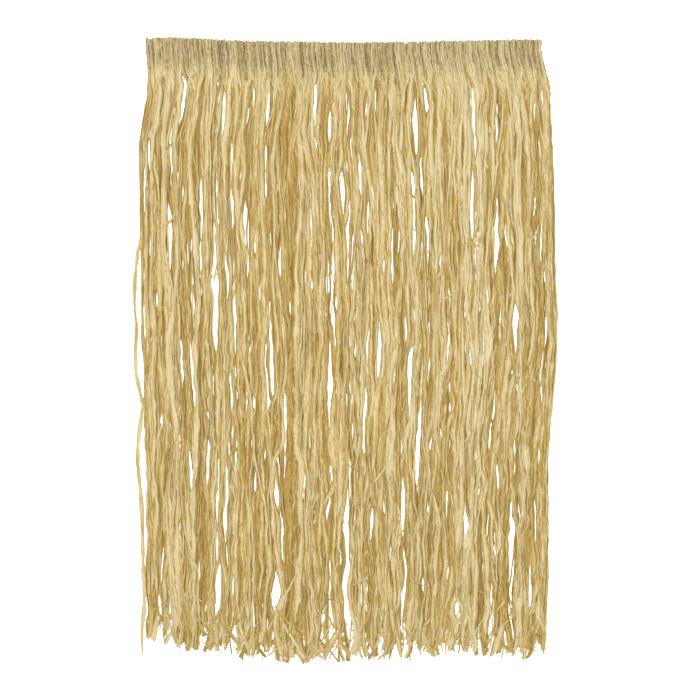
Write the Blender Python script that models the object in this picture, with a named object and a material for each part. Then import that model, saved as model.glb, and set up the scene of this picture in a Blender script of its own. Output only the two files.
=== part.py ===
"""A grass skirt laid flat: a gathered waist casing and heading, each a flattened loop round the
waist, and hanks of raffia strands for the front, lying on the hanks of the back.

Run it with blender --background --python part.py, or from Blender's text editor.
Metres, +Z up. The skirt lies on Z = 0 with its waist towards +Y, centred on the Z axis.
"""

from collections import namedtuple

import bmesh
import bpy
import numpy as np

# ---------------------------------------------------------------- driving dimensions
SEAM_GAP = 0.0003          # between pieces that touch
WALL = 0.0028              # thickness of the gathered waist and of one layer of hanks
WAIST_SPACE = 0.0012       # between front and back of the waist, laid flat
CASING_HEIGHT = 0.0212     # fold-over top edge down to the upper stitch row
HEADING_HEIGHT = 0.0145    # upper stitch row down to the lower one
CROWN_DROP = 0.0025        # how far the casing's rounded top edge falls to its faces

FRONT_GATHERS = 38         # gathers across the front of the waist
BACK_STEPS = 38            # straight steps across the back, which lies flat
FOLD_STEPS = 4             # steps round each side fold
GATHER_DEPTH = 0.00045     # half the height of a gather
SCALLOP = 0.0007           # half the rise of the top edge over a gather
PINCH = 0.0005             # how far a stitch row draws the face in
BULGE = 0.0003             # how far the face swells between stitch rows

RIDGES = 3                 # strands standing proud on a front hank
BACK_RIDGES = 2
EDGE_HEIGHT = 0.60         # of WALL, at a hank's edges
VALLEY_HEIGHT = 0.72       # of WALL, between ridges
RAGGED = 0.0060            # how far a hank's shorter strands end above its longest
TONGUE = 0.0200            # how far up the hem is cut between strands
TONGUE_ROOT = 0.0260       # the last full section, above the hem's end
STRAY_RADIUS = 0.0014

# The waist's top edge: across the skirt, and along it.
Edge = namedtuple("Edge", "x y")
TOP_EDGE = (
    Edge(-0.2284, 0.3537),
    Edge(-0.2050, 0.3570),
    Edge(-0.1760, 0.3564),
    Edge(-0.1100, 0.3527),
    Edge(0.0000, 0.3511),
    Edge(0.0850, 0.3514),
    Edge(0.1500, 0.3532),
    Edge(0.2140, 0.3545),
    Edge(0.2246, 0.3525),
)

# The skirt's left and right edges, from the waist down to the hem.
Side = namedtuple("Side", "y left right")
SIDES = (
    Side(0.3575, -0.2284, 0.2246),
    Side(0.3390, -0.2262, 0.2230),
    Side(0.3170, -0.2254, 0.2292),
    Side(0.2940, -0.2262, 0.2344),
    Side(0.2400, -0.2354, 0.2372),
    Side(0.2050, -0.2328, 0.2377),
    Side(0.1410, -0.2336, 0.2388),
    Side(0.0870, -0.2336, 0.2352),
    Side(0.0070, -0.2325, 0.2421),
    Side(-0.0410, -0.2305, 0.2360),
    Side(-0.1060, -0.2277, 0.2328),
    Side(-0.2550, -0.2262, 0.2317),
    Side(-0.3250, -0.2235, 0.2290),
    Side(-0.3575, -0.2210, 0.2265),
)

# The hanks from left to right. waist, middle and hem place a hank's right edge, as a share of the
# skirt's width there; reach is where its longest strand ends. The slit between it and the next
# hank is centred at slit_y, and opens right through the back where behind is True.
Hank = namedtuple("Hank", "waist middle hem reach slit_y slit_long slit_wide behind")
HANKS = (
    Hank(0.063, 0.070, 0.055, -0.3310, 0.2205, 0.076, 0.0030, True),
    Hank(0.108, 0.118, 0.098, -0.3440, -0.1890, 0.030, 0.0025, False),
    Hank(0.190, 0.183, 0.174, -0.3434, 0.0685, 0.165, 0.0080, True),
    Hank(0.253, 0.252, 0.239, -0.3495, -0.1480, 0.050, 0.0020, False),
    Hank(0.313, 0.318, 0.317, -0.3540, -0.0170, 0.080, 0.0055, True),
    Hank(0.363, 0.368, 0.373, -0.3554, 0.1740, 0.085, 0.0035, True),
    Hank(0.414, 0.411, 0.418, -0.3566, -0.2730, 0.040, 0.0020, False),
    Hank(0.459, 0.457, 0.469, -0.3575, -0.0360, 0.142, 0.0045, True),
    Hank(0.489, 0.498, 0.514, -0.3560, 0.1780, 0.060, 0.0060, True),
    Hank(0.574, 0.572, 0.562, -0.3540, -0.1980, 0.050, 0.0080, True),
    Hank(0.624, 0.611, 0.617, -0.3537, 0.0500, 0.030, 0.0015, False),
    Hank(0.672, 0.647, 0.680, -0.3550, 0.1595, 0.137, 0.0065, True),
    Hank(0.719, 0.702, 0.725, -0.3503, -0.1440, 0.030, 0.0030, False),
    Hank(0.782, 0.764, 0.781, -0.3470, -0.2960, 0.032, 0.0080, True),
    Hank(0.850, 0.827, 0.841, -0.3436, -0.1530, 0.035, 0.0030, False),
    Hank(0.935, 0.903, 0.929, -0.3503, 0.0180, 0.080, 0.0055, True),
    Hank(0.975, 0.952, 0.965, -0.3530, -0.2700, 0.063, 0.0060, True),
    Hank(1.000, 1.000, 1.000, -0.3475, 0.0000, 0.000, 0.0000, True),
)
WAIST_Y = 0.3170
MIDDLE_Y = 0.0000
HEM_Y = -0.3400
LEVELS = (0.2940, 0.2400, 0.1410, 0.0070, -0.1060, -0.2550)   # sections every hank has
SLIT_MARGIN = 0.004        # a section this close to another is left out

# Loose strands past the left side: how far along the skirt, and how far out from its edge.
Bow = namedtuple("Bow", "y out")
UPPER_STRAY = (
    Bow(0.118, 0.0000),
    Bow(0.092, 0.0032),
    Bow(0.066, 0.0057),
    Bow(0.045, 0.0048),
    Bow(0.024, 0.0024),
    Bow(-0.003, 0.0057),
    Bow(-0.030, 0.0056),
    Bow(-0.050, 0.0010),
    Bow(-0.060, 0.0000),
)
LOWER_STRAY = (
    Bow(-0.068, 0.0000),
    Bow(-0.090, 0.0040),
    Bow(-0.114, 0.0075),
    Bow(-0.127, 0.0085),
    Bow(-0.152, 0.0045),
    Bow(-0.193, 0.0028),
    Bow(-0.239, 0.0022),
    Bow(-0.284, 0.0016),
    Bow(-0.306, 0.0032),
    Bow(-0.324, 0.0074),
    Bow(-0.340, 0.0070),
)

CASING_COLOUR = (0.54, 0.41, 0.20)
FRONT_COLOUR = (0.62, 0.47, 0.20)
BACK_COLOUR = (0.50, 0.34, 0.11)
STRAY_COLOUR = (0.66, 0.53, 0.27)
RAFFIA_ROUGHNESS = 0.62


# ---------------------------------------------------------------- outlines
def column(table, name):
    """One column of a table of named rows, as an array."""
    return np.array([getattr(row, name) for row in table])


def top_edge(x):
    return np.interp(x, column(TOP_EDGE, "x"), column(TOP_EDGE, "y"))


def side(y, name):
    """Where the skirt's left or right edge is at y."""
    return np.interp(-np.asarray(y), -column(SIDES, "y"), column(SIDES, name))


def upper_stitches(x):
    return top_edge(x) - CASING_HEIGHT


def lower_stitches(x):
    return upper_stitches(x) - HEADING_HEIGHT


def drop_below_stitches(left, right):
    """How far a straight edge from left to right drops to clear the curved lower stitch row."""
    x = np.linspace(left, right, 33)
    straight = np.interp(x, (left, right), lower_stitches(x[[0, -1]]))
    return float(np.max(straight - lower_stitches(x)))


def hank_edge(number, y):
    """The line between hank number and the next one, as x at y, with no slit; 0 is the left side."""
    left = side(y, "left")
    if number == 0:
        return left
    row = HANKS[number - 1]
    marks = (row.hem, row.middle, row.waist)
    share = np.interp(y, (HEM_Y, MIDDLE_Y, WAIST_Y), marks)
    return left + share * (side(y, "right") - left)


def slit_levels(number):
    """The sections where the slit to the right of hank number starts, is widest and ends."""
    if number in (0, len(HANKS)):
        return ()
    row = HANKS[number - 1]
    return (row.slit_y + row.slit_long / 2, row.slit_y, row.slit_y - row.slit_long / 2)


def line_levels(number):
    """The sections at which the line to the right of hank number bends."""
    slit = slit_levels(number)
    kept = [y for y in LEVELS if all(abs(y - s) > SLIT_MARGIN for s in slit)]
    return tuple(sorted((WAIST_Y + SLIT_MARGIN, HEM_Y - 2 * SLIT_MARGIN, *kept, *slit)))


def hank_line(number, y, towards):
    """The edge of a hank at y: the line between two hanks, moved towards its own hank (-1 for the
    hank on its left, 1 for the one on its right) by half the gap, and straight between levels."""
    levels = np.array(line_levels(number))
    half_gap = np.full(len(levels), SEAM_GAP * 0.6)
    if slit_levels(number):
        row = HANKS[number - 1]
        half_gap[levels == row.slit_y] += row.slit_wide / 2
    if number in (0, len(HANKS)):
        half_gap[:] = 0.0
    xs = hank_edge(number, levels) + towards * half_gap
    return np.interp(y, levels, xs)


# ---------------------------------------------------------------- meshes and materials
def material(name, colour):
    made = bpy.data.materials.new(name)
    made.use_nodes = True
    shader = made.node_tree.nodes["Principled BSDF"]
    shader.inputs["Base Color"].default_value = (*colour, 1.0)
    shader.inputs["Roughness"].default_value = RAFFIA_ROUGHNESS
    shader.inputs["Metallic"].default_value = 0.0
    made.diffuse_color = (*colour, 1.0)
    return made


def add_object(name, data, origin, finish):
    """An object in the skirt's collection, at its origin and parented to the skirt's empty."""
    data.materials.append(finish)
    made = bpy.data.objects.new(name, data)
    made.location = origin
    made.parent = skirt
    parts.objects.link(made)
    return made


def loft(name, rings, origin, finish, closed=False):
    """A solid through rings of points. A closed one runs back into its first ring. In an open one
    the first half of a ring lies under the second half, run the other way, and strips of faces
    between the two halves close its ends, so an end may be cut in tongues."""
    rings = np.asarray(rings)
    count, sides, _ = rings.shape
    index = np.arange(count * sides).reshape(count, sides)
    here = index if closed else index[:-1]
    there = np.roll(index, -1, axis=0) if closed else index[1:]
    quads = np.stack((here, np.roll(here, -1, 1), np.roll(there, -1, 1), there), axis=-1)
    faces = [quads.reshape(-1, 4)]
    if not closed:
        under = index[:, : sides // 2]
        over = index[:, : sides // 2 - 1 : -1]
        strips = np.stack((under[:, :-1], over[:, :-1], over[:, 1:], under[:, 1:]), axis=-1)
        faces += [strips[0], strips[-1][:, ::-1]]
    points = rings.reshape(-1, 3) - np.array(origin)
    mesh = bpy.data.meshes.new(name)
    mesh.from_pydata(points.tolist(), [], np.concatenate(faces).tolist())
    work = bmesh.new()
    work.from_mesh(mesh)
    if work.calc_volume(signed=True) < 0.0:
        bmesh.ops.reverse_faces(work, faces=work.faces)
    work.to_mesh(mesh)
    work.free()
    mesh.shade_smooth()
    mesh.set_sharp_from_angle(angle=np.radians(50))
    return add_object(name, mesh, origin, finish)


# ---------------------------------------------------------------- the gathered waist
def round_the_waist():
    """Stations round a flattened tube: the share of the way across, left to right, and the angle
    its face points at: 90 degrees on the front, -90 on the back, and between them at the folds."""
    front = np.linspace(0.0, 1.0, 2 * FRONT_GATHERS + 1)
    back = np.linspace(1.0, 0.0, BACK_STEPS + 1)
    fold = np.linspace(90.0, -90.0, FOLD_STEPS + 1)[1:-1]
    share = np.concatenate((front, np.ones(len(fold)), back, np.zeros(len(fold))))
    angle = np.concatenate((np.full(len(front), 90.0), fold, np.full(len(back), -90.0), fold - 180.0))
    return share, np.radians(angle)


def gather_wave(share, facing):
    """Gathers across the front, up and down by turns, uneven in depth, and none underneath."""
    count = len(share)
    turn = np.where(np.arange(count) % 2 == 0, 1.0, -1.0)
    uneven = 0.72 + 0.28 * np.sin(31.0 * share + 1.3) * np.cos(13.0 * share)
    return turn * uneven * facing


def waist_loop(name, rows, finish):
    """A loop round the waist. Each row of its section is (y at x, face offset, on the outside),
    where the offset is measured from the middle of the wall."""
    share, angle = round_the_waist()
    facing = (np.sin(angle) + 1.0) / 2.0
    middle_radius = (WAIST_SPACE + WALL) / 2.0
    outer_radius = middle_radius + WALL / 2.0
    wave = gather_wave(share, facing)
    rings = []
    for y_at, swell, outside in rows:
        offset = np.full(len(share), WALL / 2.0 if outside else -WALL / 2.0)
        if outside is None:
            offset[:] = 0.0
        if outside:
            offset += swell * facing + GATHER_DEPTH * wave
        y_guess = np.full(len(share), y_at(0.0))
        for _ in range(2):
            left, right = side(y_guess, "left"), side(y_guess, "right")
            along = left + outer_radius + share * (right - left - 2.0 * outer_radius)
            x = along + np.cos(angle) * (middle_radius + offset)
            y_guess = y_at(x)
        y = y_guess + (SCALLOP * wave if outside is None else 0.0)
        z = outer_radius + np.sin(angle) * (middle_radius + offset)
        rings.append(np.stack((x, y, z), axis=-1))
    rings = np.stack(rings, axis=1)
    origin = (0.0, float(rows[0][0](0.0)), 0.0)
    return loft(name, rings, origin, finish, closed=True)


def make_waist(finish):
    half_gap = SEAM_GAP / 2.0
    waist_loop("waist_casing", (
        (lambda x: upper_stitches(x) + half_gap, -PINCH, True),
        (lambda x: upper_stitches(x) + CASING_HEIGHT * 0.45, BULGE, True),
        (lambda x: top_edge(x) - CROWN_DROP, -PINCH, True),
        (top_edge, 0.0, None),
        (lambda x: top_edge(x) - CROWN_DROP, 0.0, False),
        (lambda x: upper_stitches(x) + half_gap, 0.0, False),
    ), finish)
    waist_loop("heading", (
        (lambda x: lower_stitches(x) + half_gap, -PINCH, True),
        (lambda x: lower_stitches(x) + HEADING_HEIGHT / 2.0, BULGE / 2.0, True),
        (lambda x: upper_stitches(x) - half_gap, -PINCH, True),
        (lambda x: upper_stitches(x) - half_gap, 0.0, False),
        (lambda x: lower_stitches(x) + half_gap, 0.0, False),
    ), finish)


# ---------------------------------------------------------------- the grass
def hank_ring(left, right, y, base, ridges, phase):
    """One section of a hank: a flat underside from left to right, then back over the ridges of
    the strands on top."""
    count = 2 * ridges + 1
    share = np.linspace(0.0, 1.0, count)
    share[1:-1] += 0.25 / count * np.sin(phase + 2.1 * np.arange(1, count - 1))
    height = np.where(np.arange(count) % 2 == 1, 1.0, VALLEY_HEIGHT)
    height[[0, -1]] = EDGE_HEIGHT
    height[1::2] -= 0.10 * (1.0 + np.sin(phase * 1.7 + np.arange(ridges)))
    x = left + (right - left) * share
    ring_x = np.concatenate((x, x[::-1]))
    ring_z = base + np.concatenate((np.zeros(count), WALL * height[::-1]))
    return np.stack((ring_x, np.full(2 * count, y), ring_z), axis=-1)


def hem_cut(ring, first, last, ridges, phase):
    """The last section cut in a tongue under each ridge: the valleys between them are raised by
    up to TONGUE, the tongues end up to RAGGED short, and the sides stay on the hank's edge lines."""
    count = 2 * ridges + 1
    wave = 0.5 * (1.0 + np.sin(phase + 2.4 * np.arange(count)))
    rise = np.where(np.arange(count) % 2 == 1, RAGGED * wave, TONGUE * (0.55 + 0.45 * wave))
    rise[[0, -1]] *= 0.6
    rise[1 + 2 * (ridges // 2)] = 0.0
    cut = ring.copy()
    cut[:, 1] += np.concatenate((rise, rise[::-1]))
    cut[[0, -1], 0] = hank_line(first, cut[[0, -1], 1], 1)
    cut[[count - 1, count], 0] = hank_line(last, cut[[count - 1, count], 1], -1)
    return cut


def make_hank(name, first, last, base, ridges, finish):
    """The hank from line first to line last, standing on base."""
    low = min(row.reach for row in HANKS[first:last])
    levels = sorted(set(line_levels(first)) | set(line_levels(last)), reverse=True)
    levels = [y for y in levels if low + TONGUE_ROOT + SLIT_MARGIN < y < WAIST_Y - SLIT_MARGIN]
    top_left = hank_line(first, WAIST_Y, 1)
    top_right = hank_line(last, WAIST_Y, -1)
    waist = hank_ring(top_left, top_right, 0.0, base, ridges, first)
    waist[:, 1] = lower_stitches(waist[:, 0]) - SEAM_GAP - drop_below_stitches(top_left, top_right)
    rings = [waist]
    for y in (*levels, low + TONGUE_ROOT, low):
        left, right = hank_line(first, y, 1), hank_line(last, y, -1)
        phase = first + 9.0 * y
        rings.append(hank_ring(left, right, y, base, ridges, phase))
    rings[-1] = hem_cut(rings[-1], first, last, ridges, 3.0 * first)
    origin = ((top_left + top_right) / 2.0, WAIST_Y, base)
    return loft(name, rings, origin, finish)


def make_grass(front_finish, back_finish):
    front_base = WALL + SEAM_GAP
    for number in range(len(HANKS)):
        name = f"front_hank_{number + 1:02d}"
        make_hank(name, number, number + 1, front_base, RIDGES, front_finish)
    lines = [0] + [number + 1 for number, row in enumerate(HANKS) if row.behind]
    for count, (first, last) in enumerate(zip(lines[:-1], lines[1:]), start=1):
        make_hank(f"back_hank_{count:02d}", first, last, 0.0, BACK_RIDGES, back_finish)


def make_stray(name, bows, finish):
    """A loose strand beside the left edge, a curve swept with a round section."""
    y = np.linspace(bows[0].y, bows[-1].y, 2 * len(bows) - 1)
    out = np.interp(-y, -column(bows, "y"), column(bows, "out"))
    x = side(y, "left") - out - STRAY_RADIUS - 2.0 * SEAM_GAP
    origin = (float(x[0]), float(y[0]), STRAY_RADIUS)
    curve = bpy.data.curves.new(name, "CURVE")
    curve.dimensions = "3D"
    curve.bevel_depth = STRAY_RADIUS
    curve.bevel_resolution = 1
    curve.use_fill_caps = True
    spline = curve.splines.new("POLY")
    spline.points.add(len(y) - 1)
    points = np.stack((x - origin[0], y - origin[1], np.zeros(len(y)), np.ones(len(y))), axis=-1)
    spline.points.foreach_set("co", points.ravel())
    return add_object(name, curve, origin, finish)


# ---------------------------------------------------------------- the whole skirt
for old in list(bpy.data.objects):
    bpy.data.objects.remove(old, do_unlink=True)

parts = bpy.data.collections.new("grass_skirt")
bpy.context.scene.collection.children.link(parts)
skirt = bpy.data.objects.new("skirt", None)
parts.objects.link(skirt)

make_waist(material("gathered_raffia", CASING_COLOUR))
make_grass(material("front_raffia", FRONT_COLOUR), material("back_raffia", BACK_COLOUR))
stray_finish = material("stray_raffia", STRAY_COLOUR)
make_stray("stray_strand_upper", UPPER_STRAY, stray_finish)
make_stray("stray_strand_lower", LOWER_STRAY, stray_finish)
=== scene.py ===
"""A grass skirt laid flat on a pale studio floor.

Every strand is one crumpled ribbon of paper raffia, folded over the waist elastic, caught by two
rows of stitching and left to hang. Run it as a script: the classes below are laid out as a Blender
add-on, and main() makes the whole skirt.
"""

from collections import namedtuple

import bpy
import numpy as np
from bpy.props import FloatProperty, FloatVectorProperty, IntProperty, PointerProperty
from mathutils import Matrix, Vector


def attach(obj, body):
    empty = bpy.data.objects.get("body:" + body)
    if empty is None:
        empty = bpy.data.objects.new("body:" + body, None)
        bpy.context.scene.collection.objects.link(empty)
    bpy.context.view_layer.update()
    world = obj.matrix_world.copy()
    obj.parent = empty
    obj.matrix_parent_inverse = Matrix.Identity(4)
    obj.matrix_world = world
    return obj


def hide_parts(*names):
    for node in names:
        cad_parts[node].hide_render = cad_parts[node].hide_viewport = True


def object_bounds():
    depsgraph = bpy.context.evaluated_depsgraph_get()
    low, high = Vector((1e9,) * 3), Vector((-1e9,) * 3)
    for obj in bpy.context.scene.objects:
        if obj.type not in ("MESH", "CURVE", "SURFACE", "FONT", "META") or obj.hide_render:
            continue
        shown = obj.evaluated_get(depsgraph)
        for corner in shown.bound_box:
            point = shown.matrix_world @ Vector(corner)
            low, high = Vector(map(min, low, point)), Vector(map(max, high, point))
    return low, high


bl_info = {
    "name": "Grass Skirt",
    "version": (1, 0, 0),
    "blender": (4, 5, 0),
    "location": "View3D > Sidebar > Grass Skirt",
    "description": "Raffia strands, waist casing, stitching and studio stage of a grass skirt",
    "category": "Object",
}

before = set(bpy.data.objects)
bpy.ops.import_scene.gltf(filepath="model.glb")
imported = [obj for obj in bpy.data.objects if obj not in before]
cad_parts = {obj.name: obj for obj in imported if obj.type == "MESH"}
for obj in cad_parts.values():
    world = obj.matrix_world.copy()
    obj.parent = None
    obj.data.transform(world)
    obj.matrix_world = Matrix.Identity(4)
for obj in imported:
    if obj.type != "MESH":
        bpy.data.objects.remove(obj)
CAD_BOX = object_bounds()
MM = 0.001


# ---- outlines read from the frame
def node_points(name):
    """All points of a CAD node, one row each."""
    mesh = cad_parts[name].data
    points = np.empty(3 * len(mesh.vertices))
    mesh.vertices.foreach_get("co", points)
    return points.reshape(-1, 3)


def rim(points, bands, along, across, sign):
    """The outermost points of a cloud in even bands along one axis, towards plus or minus of the
    other as sign says: their places along, and across."""
    place = points[:, along]
    band = ((place - place.min()) / (np.ptp(place) + 1e-9) * bands).astype(int)
    inside = [points[band == number] for number in np.unique(band)]
    found = np.array([group[np.argmax(sign * group[:, across])] for group in inside])
    return found[:, along], found[:, across]


FRONT_NODES = sorted(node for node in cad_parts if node.startswith("front_hank"))
BACK_NODES = sorted(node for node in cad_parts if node.startswith("back_hank"))
WAIST = np.concatenate((node_points("waist_casing"), node_points("heading")))
TONGUE_ROOM = 30.0 * MM    # the CAD hanks are cut in tongues this far above their ends
HANK_TOP = 12.0 * MM       # the upper part of a hank that gives its left and right edge
FOLD_DEPTH = 6.0 * MM      # the part of the waist next to a side fold
SIDE_BANDS = 32            # down a side edge of the grass
FOLD_BANDS = 4             # down a side fold of the waist
WAIST_BANDS = 24           # across the waist


def side_rim(hank, sign):
    """The skirt's left or right edge as X over Y, from the outer hank and the waist above it."""
    grass = node_points(hank)
    grass = grass[grass[:, 1] > grass[:, 1].min() + TONGUE_ROOM]
    fold = WAIST[sign * WAIST[:, 0] > (sign * WAIST[:, 0]).max() - FOLD_DEPTH]
    low = rim(grass, SIDE_BANDS, 1, 0, sign)
    high = rim(fold, FOLD_BANDS, 1, 0, sign)
    y, x = np.hstack((low, high))
    order = np.argsort(y)
    return y[order], x[order]


LEFT_RIM = side_rim(FRONT_NODES[0], -1)
RIGHT_RIM = side_rim(FRONT_NODES[-1], 1)
TOP_RIM = rim(node_points("waist_casing"), WAIST_BANDS, 0, 1, 1)
UPPER_ROW = rim(node_points("waist_casing"), WAIST_BANDS, 0, 1, -1)
LOWER_ROW = rim(node_points("heading"), WAIST_BANDS, 0, 1, -1)


def sides(y):
    """X of the skirt's left and right edges at Y."""
    return np.interp(y, *LEFT_RIM), np.interp(y, *RIGHT_RIM)


def lane(share, y, inset):
    """X of a lane at Y: its share of the way from the left edge to the right one, both inset."""
    left, right = sides(y)
    left = left + inset
    return left + share * (right - inset - left)


def hank_spans(nodes):
    """Each hank's left and right edge at its top, and the Y its longest strand reaches."""
    spans = []
    for name in nodes:
        points = node_points(name)
        top = points[points[:, 1] > points[:, 1].max() - HANK_TOP]
        spans.append((top[:, 0].min(), top[:, 0].max(), points[:, 1].min()))
    return np.array(spans)


def hem(spans, x):
    """Y that the longest strands reach at X."""
    return np.interp(x, spans[:, :2].mean(axis=1), spans[:, 2])


# ---- sizes and colours
def metres(name, description, default, least=0.0):
    """A length that a user can set."""
    return FloatProperty(
        name=name, description=description, default=default, min=least, unit="LENGTH"
    )


def tint(name, description, default):
    """A colour that a user can set."""
    return FloatVectorProperty(
        name=name, description=description, default=default, subtype="COLOR", min=0.0, max=1.0
    )


class GrassSkirtSizes(bpy.types.PropertyGroup):
    """What a user would change in the skirt's make."""

    front_strands: IntProperty(
        name="Front strands", description="Raffia strands across the front", default=164, min=20
    )
    back_strands: IntProperty(
        name="Back strands", description="Raffia strands across the back", default=112, min=20
    )
    wander: FloatProperty(
        name="Wander", description="How far a strand strays from its lane, as a share of the usual",
        default=1.0, min=0.0, max=3.0, subtype="FACTOR",
    )
    ribbon_width: metres("Ribbon width", "Mean flat width of a ribbon", 8.6 * MM, 1.0 * MM)
    ribbon_thickness: metres(
        "Ribbon thickness", "Thickness of the crumpled raffia paper", 0.34 * MM, 0.05 * MM
    )
    raggedness: metres(
        "Raggedness", "How far shorter strands end above the longest at the hem", 27.0 * MM
    )
    stitch_length: metres("Stitch length", "One stitch with its gap", 3.1 * MM, 1.0 * MM)
    thread_diameter: metres("Thread diameter", "Of the sewing thread", 0.42 * MM, 0.1 * MM)


class GrassSkirtColours(bpy.types.PropertyGroup):
    """Colours of the raffia, its thread and the stage."""

    # The raffia colours follow the tone: strands lying on top are paler and those underneath more amber,
    # partly their own random tone and partly painted light on top and painted shade underneath.
    pale: tint("Pale raffia", "Sun-bleached strands that lie on top", (0.525, 0.432, 0.232))
    straw: tint("Straw raffia", "The most common strands", (0.418, 0.299, 0.088))
    amber: tint("Amber raffia", "Deep strands, mostly underneath", (0.328, 0.198, 0.028))
    khaki: tint("Gathered raffia", "What it turns towards at the waist", (0.42, 0.365, 0.245))
    shadow: tint("Pleat shadow", "The dark of a deep pleat", (0.265, 0.176, 0.058))
    thread: tint("Thread", "Sewing thread of both stitch rows", (0.58, 0.50, 0.32))
    floor: tint("Floor", "Pale floor under the skirt", (0.92, 0.92, 0.92))


def sizes():
    """The sizes set for this scene."""
    return bpy.context.scene.grass_skirt_sizes


def colours():
    """The colours set for this scene."""
    return bpy.context.scene.grass_skirt_colours


# ---- shader arithmetic
class Field:
    """A shader value: Python arithmetic on it adds the Math nodes that work it out."""

    def __init__(self, paint, socket):
        self.paint = paint
        self.socket = socket

    def math(self, operation, *values):
        """The output of a new Math node that is fed the values."""
        inputs = dict(enumerate(values))
        return self.paint.node("ShaderNodeMath", {"operation": operation}, inputs, 0)

    def __add__(self, other):
        return self.math("ADD", self, other)

    def __radd__(self, other):
        return self.math("ADD", other, self)

    def __sub__(self, other):
        return self.math("SUBTRACT", self, other)

    def __rsub__(self, other):
        return self.math("SUBTRACT", other, self)

    def __mul__(self, other):
        return self.math("MULTIPLY", self, other)

    def __rmul__(self, other):
        return self.math("MULTIPLY", other, self)

    def clamped(self):
        return self.math("MINIMUM", self.math("MAXIMUM", self, 0.0), 1.0)

    def sine(self):
        return self.math("SINE", self)


class Paint:
    """A material's node tree, and what is made with its nodes."""

    def __init__(self, name):
        self.material = bpy.data.materials.new(name)
        self.material.use_nodes = True
        self.tree = self.material.node_tree
        self.shader = self.tree.nodes["Principled BSDF"]

    def feed(self, socket, value):
        """Link the socket to a field, or set it to a constant."""
        if isinstance(value, Field):
            self.tree.links.new(value.socket, socket)
        else:
            socket.default_value = value

    def node(self, kind, settings, inputs, output):
        """Add a node of any kind with its settings and inputs, and give one of its outputs."""
        made = self.tree.nodes.new(kind)
        for key, value in settings.items():
            setattr(made, key, value)
        for key, value in inputs.items():
            self.feed(made.inputs[key], value)
        return Field(self, made.outputs[output])

    def carried(self, name, output):
        """An attribute that the mesh carries at its points."""
        return self.node("ShaderNodeAttribute", {"attribute_name": name}, {}, output)

    def noise(self, vector, stretch, detail=2.0, roughness=0.5):
        """Noise with each part of its vector multiplied by its own number."""
        settings = {"operation": "MULTIPLY"}
        place = self.node("ShaderNodeVectorMath", settings, {0: vector, 1: stretch}, 0)
        inputs = {"Vector": place, "Scale": 1.0, "Detail": detail, "Roughness": roughness}
        return self.node("ShaderNodeTexNoise", {}, inputs, "Fac")

    def mix(self, factor, first, second):
        """A colour between first and second."""
        inputs = {"Factor": factor, 6: first, 7: second}
        return self.node("ShaderNodeMix", {"data_type": "RGBA"}, inputs, 2)

    def bump(self, height, strength, distance):
        """A shading normal roughened by a height."""
        inputs = {"Height": height, "Strength": strength, "Distance": distance}
        return self.node("ShaderNodeBump", {}, inputs, "Normal")

    def surface(self, inputs):
        """Feed the shader's own inputs."""
        for key, value in inputs.items():
            self.feed(self.shader.inputs[key], value)


def rgba(colour, times=1.0):
    """A colour made lighter or darker by a factor, with full alpha."""
    return (*(min(1.0, part * times) for part in colour), 1.0)


def raffia(name):
    """Paper raffia: amber, straw or pale as the tone goes from 0 to 1, streaked along its fibres, with
    blotches, and with small crinkles whose light and dark are painted light and painted shade. The tone
    already holds painted shade and light besides each strand's own tone. Where it is gathered it turns
    khaki, its streaks and crinkles are stronger as painted shade of its fine pleats, and a tone below zero
    mixes in the painted shadow of a pleat. The grain attribute is the distance across and along the ribbon
    in metres, both moved by the strand's own number, and that number."""
    paint = Paint(name)
    chosen = colours()
    grain = paint.carried("grain", "Vector")
    tone = paint.carried("tone", "Fac")
    gathered = paint.carried("gathered", "Fac")

    fibres = paint.noise(grain, (1500.0, 26.0, 40.0), 3.0, 0.6)
    streaks = paint.noise(grain, (420.0, 24.0, 40.0))
    blotches = paint.noise(grain, (110.0, 22.0, 40.0))
    crinkle = paint.noise(grain, (350.0, 360.0, 40.0), 2.0, 0.6)

    # the tone, streaks, fibres and blotches of the raffia; the crinkle term, and the extra streaks and
    # crinkles where gathered, are painted light and shade of crinkles and pleats
    shade = tone + (streaks - 0.5) * (gathered * 2.7 + 1.7) + (fibres - 0.5) * 0.6
    shade = shade + (blotches - 0.5) * 0.6 + (crinkle - 0.5) * (gathered * 3.9 + 0.5)
    shade = shade.clamped()
    low_half = (shade * 2.0).clamped()
    high_half = (shade * 2.0 - 1.0).clamped()
    colour = paint.mix(low_half, rgba(chosen.amber), rgba(chosen.straw))
    colour = paint.mix(high_half, colour, rgba(chosen.pale))
    colour = paint.mix(gathered * 0.25, colour, rgba(chosen.khaki))
    # painted shadow: where the tone falls below zero the colour goes towards the pleat shadow
    painted_shadow = ((0.0 - tone - (streaks - 0.5)) * 1.3).clamped()
    height = (fibres * 0.45 + streaks * 0.35 + crinkle * 0.70) * (gathered * 0.8 + 1.0)
    paint.surface({
        "Base Color": paint.mix(painted_shadow, colour, rgba(chosen.shadow)),
        "Roughness": 0.44 + (fibres - 0.5) * 0.25,
        "Normal": paint.bump(height, 0.9, 0.8 * MM),
        "Specular IOR Level": 0.30,
        "Sheen Weight": 0.04,
        "Sheen Roughness": 0.4,
    })
    return paint.material


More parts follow.
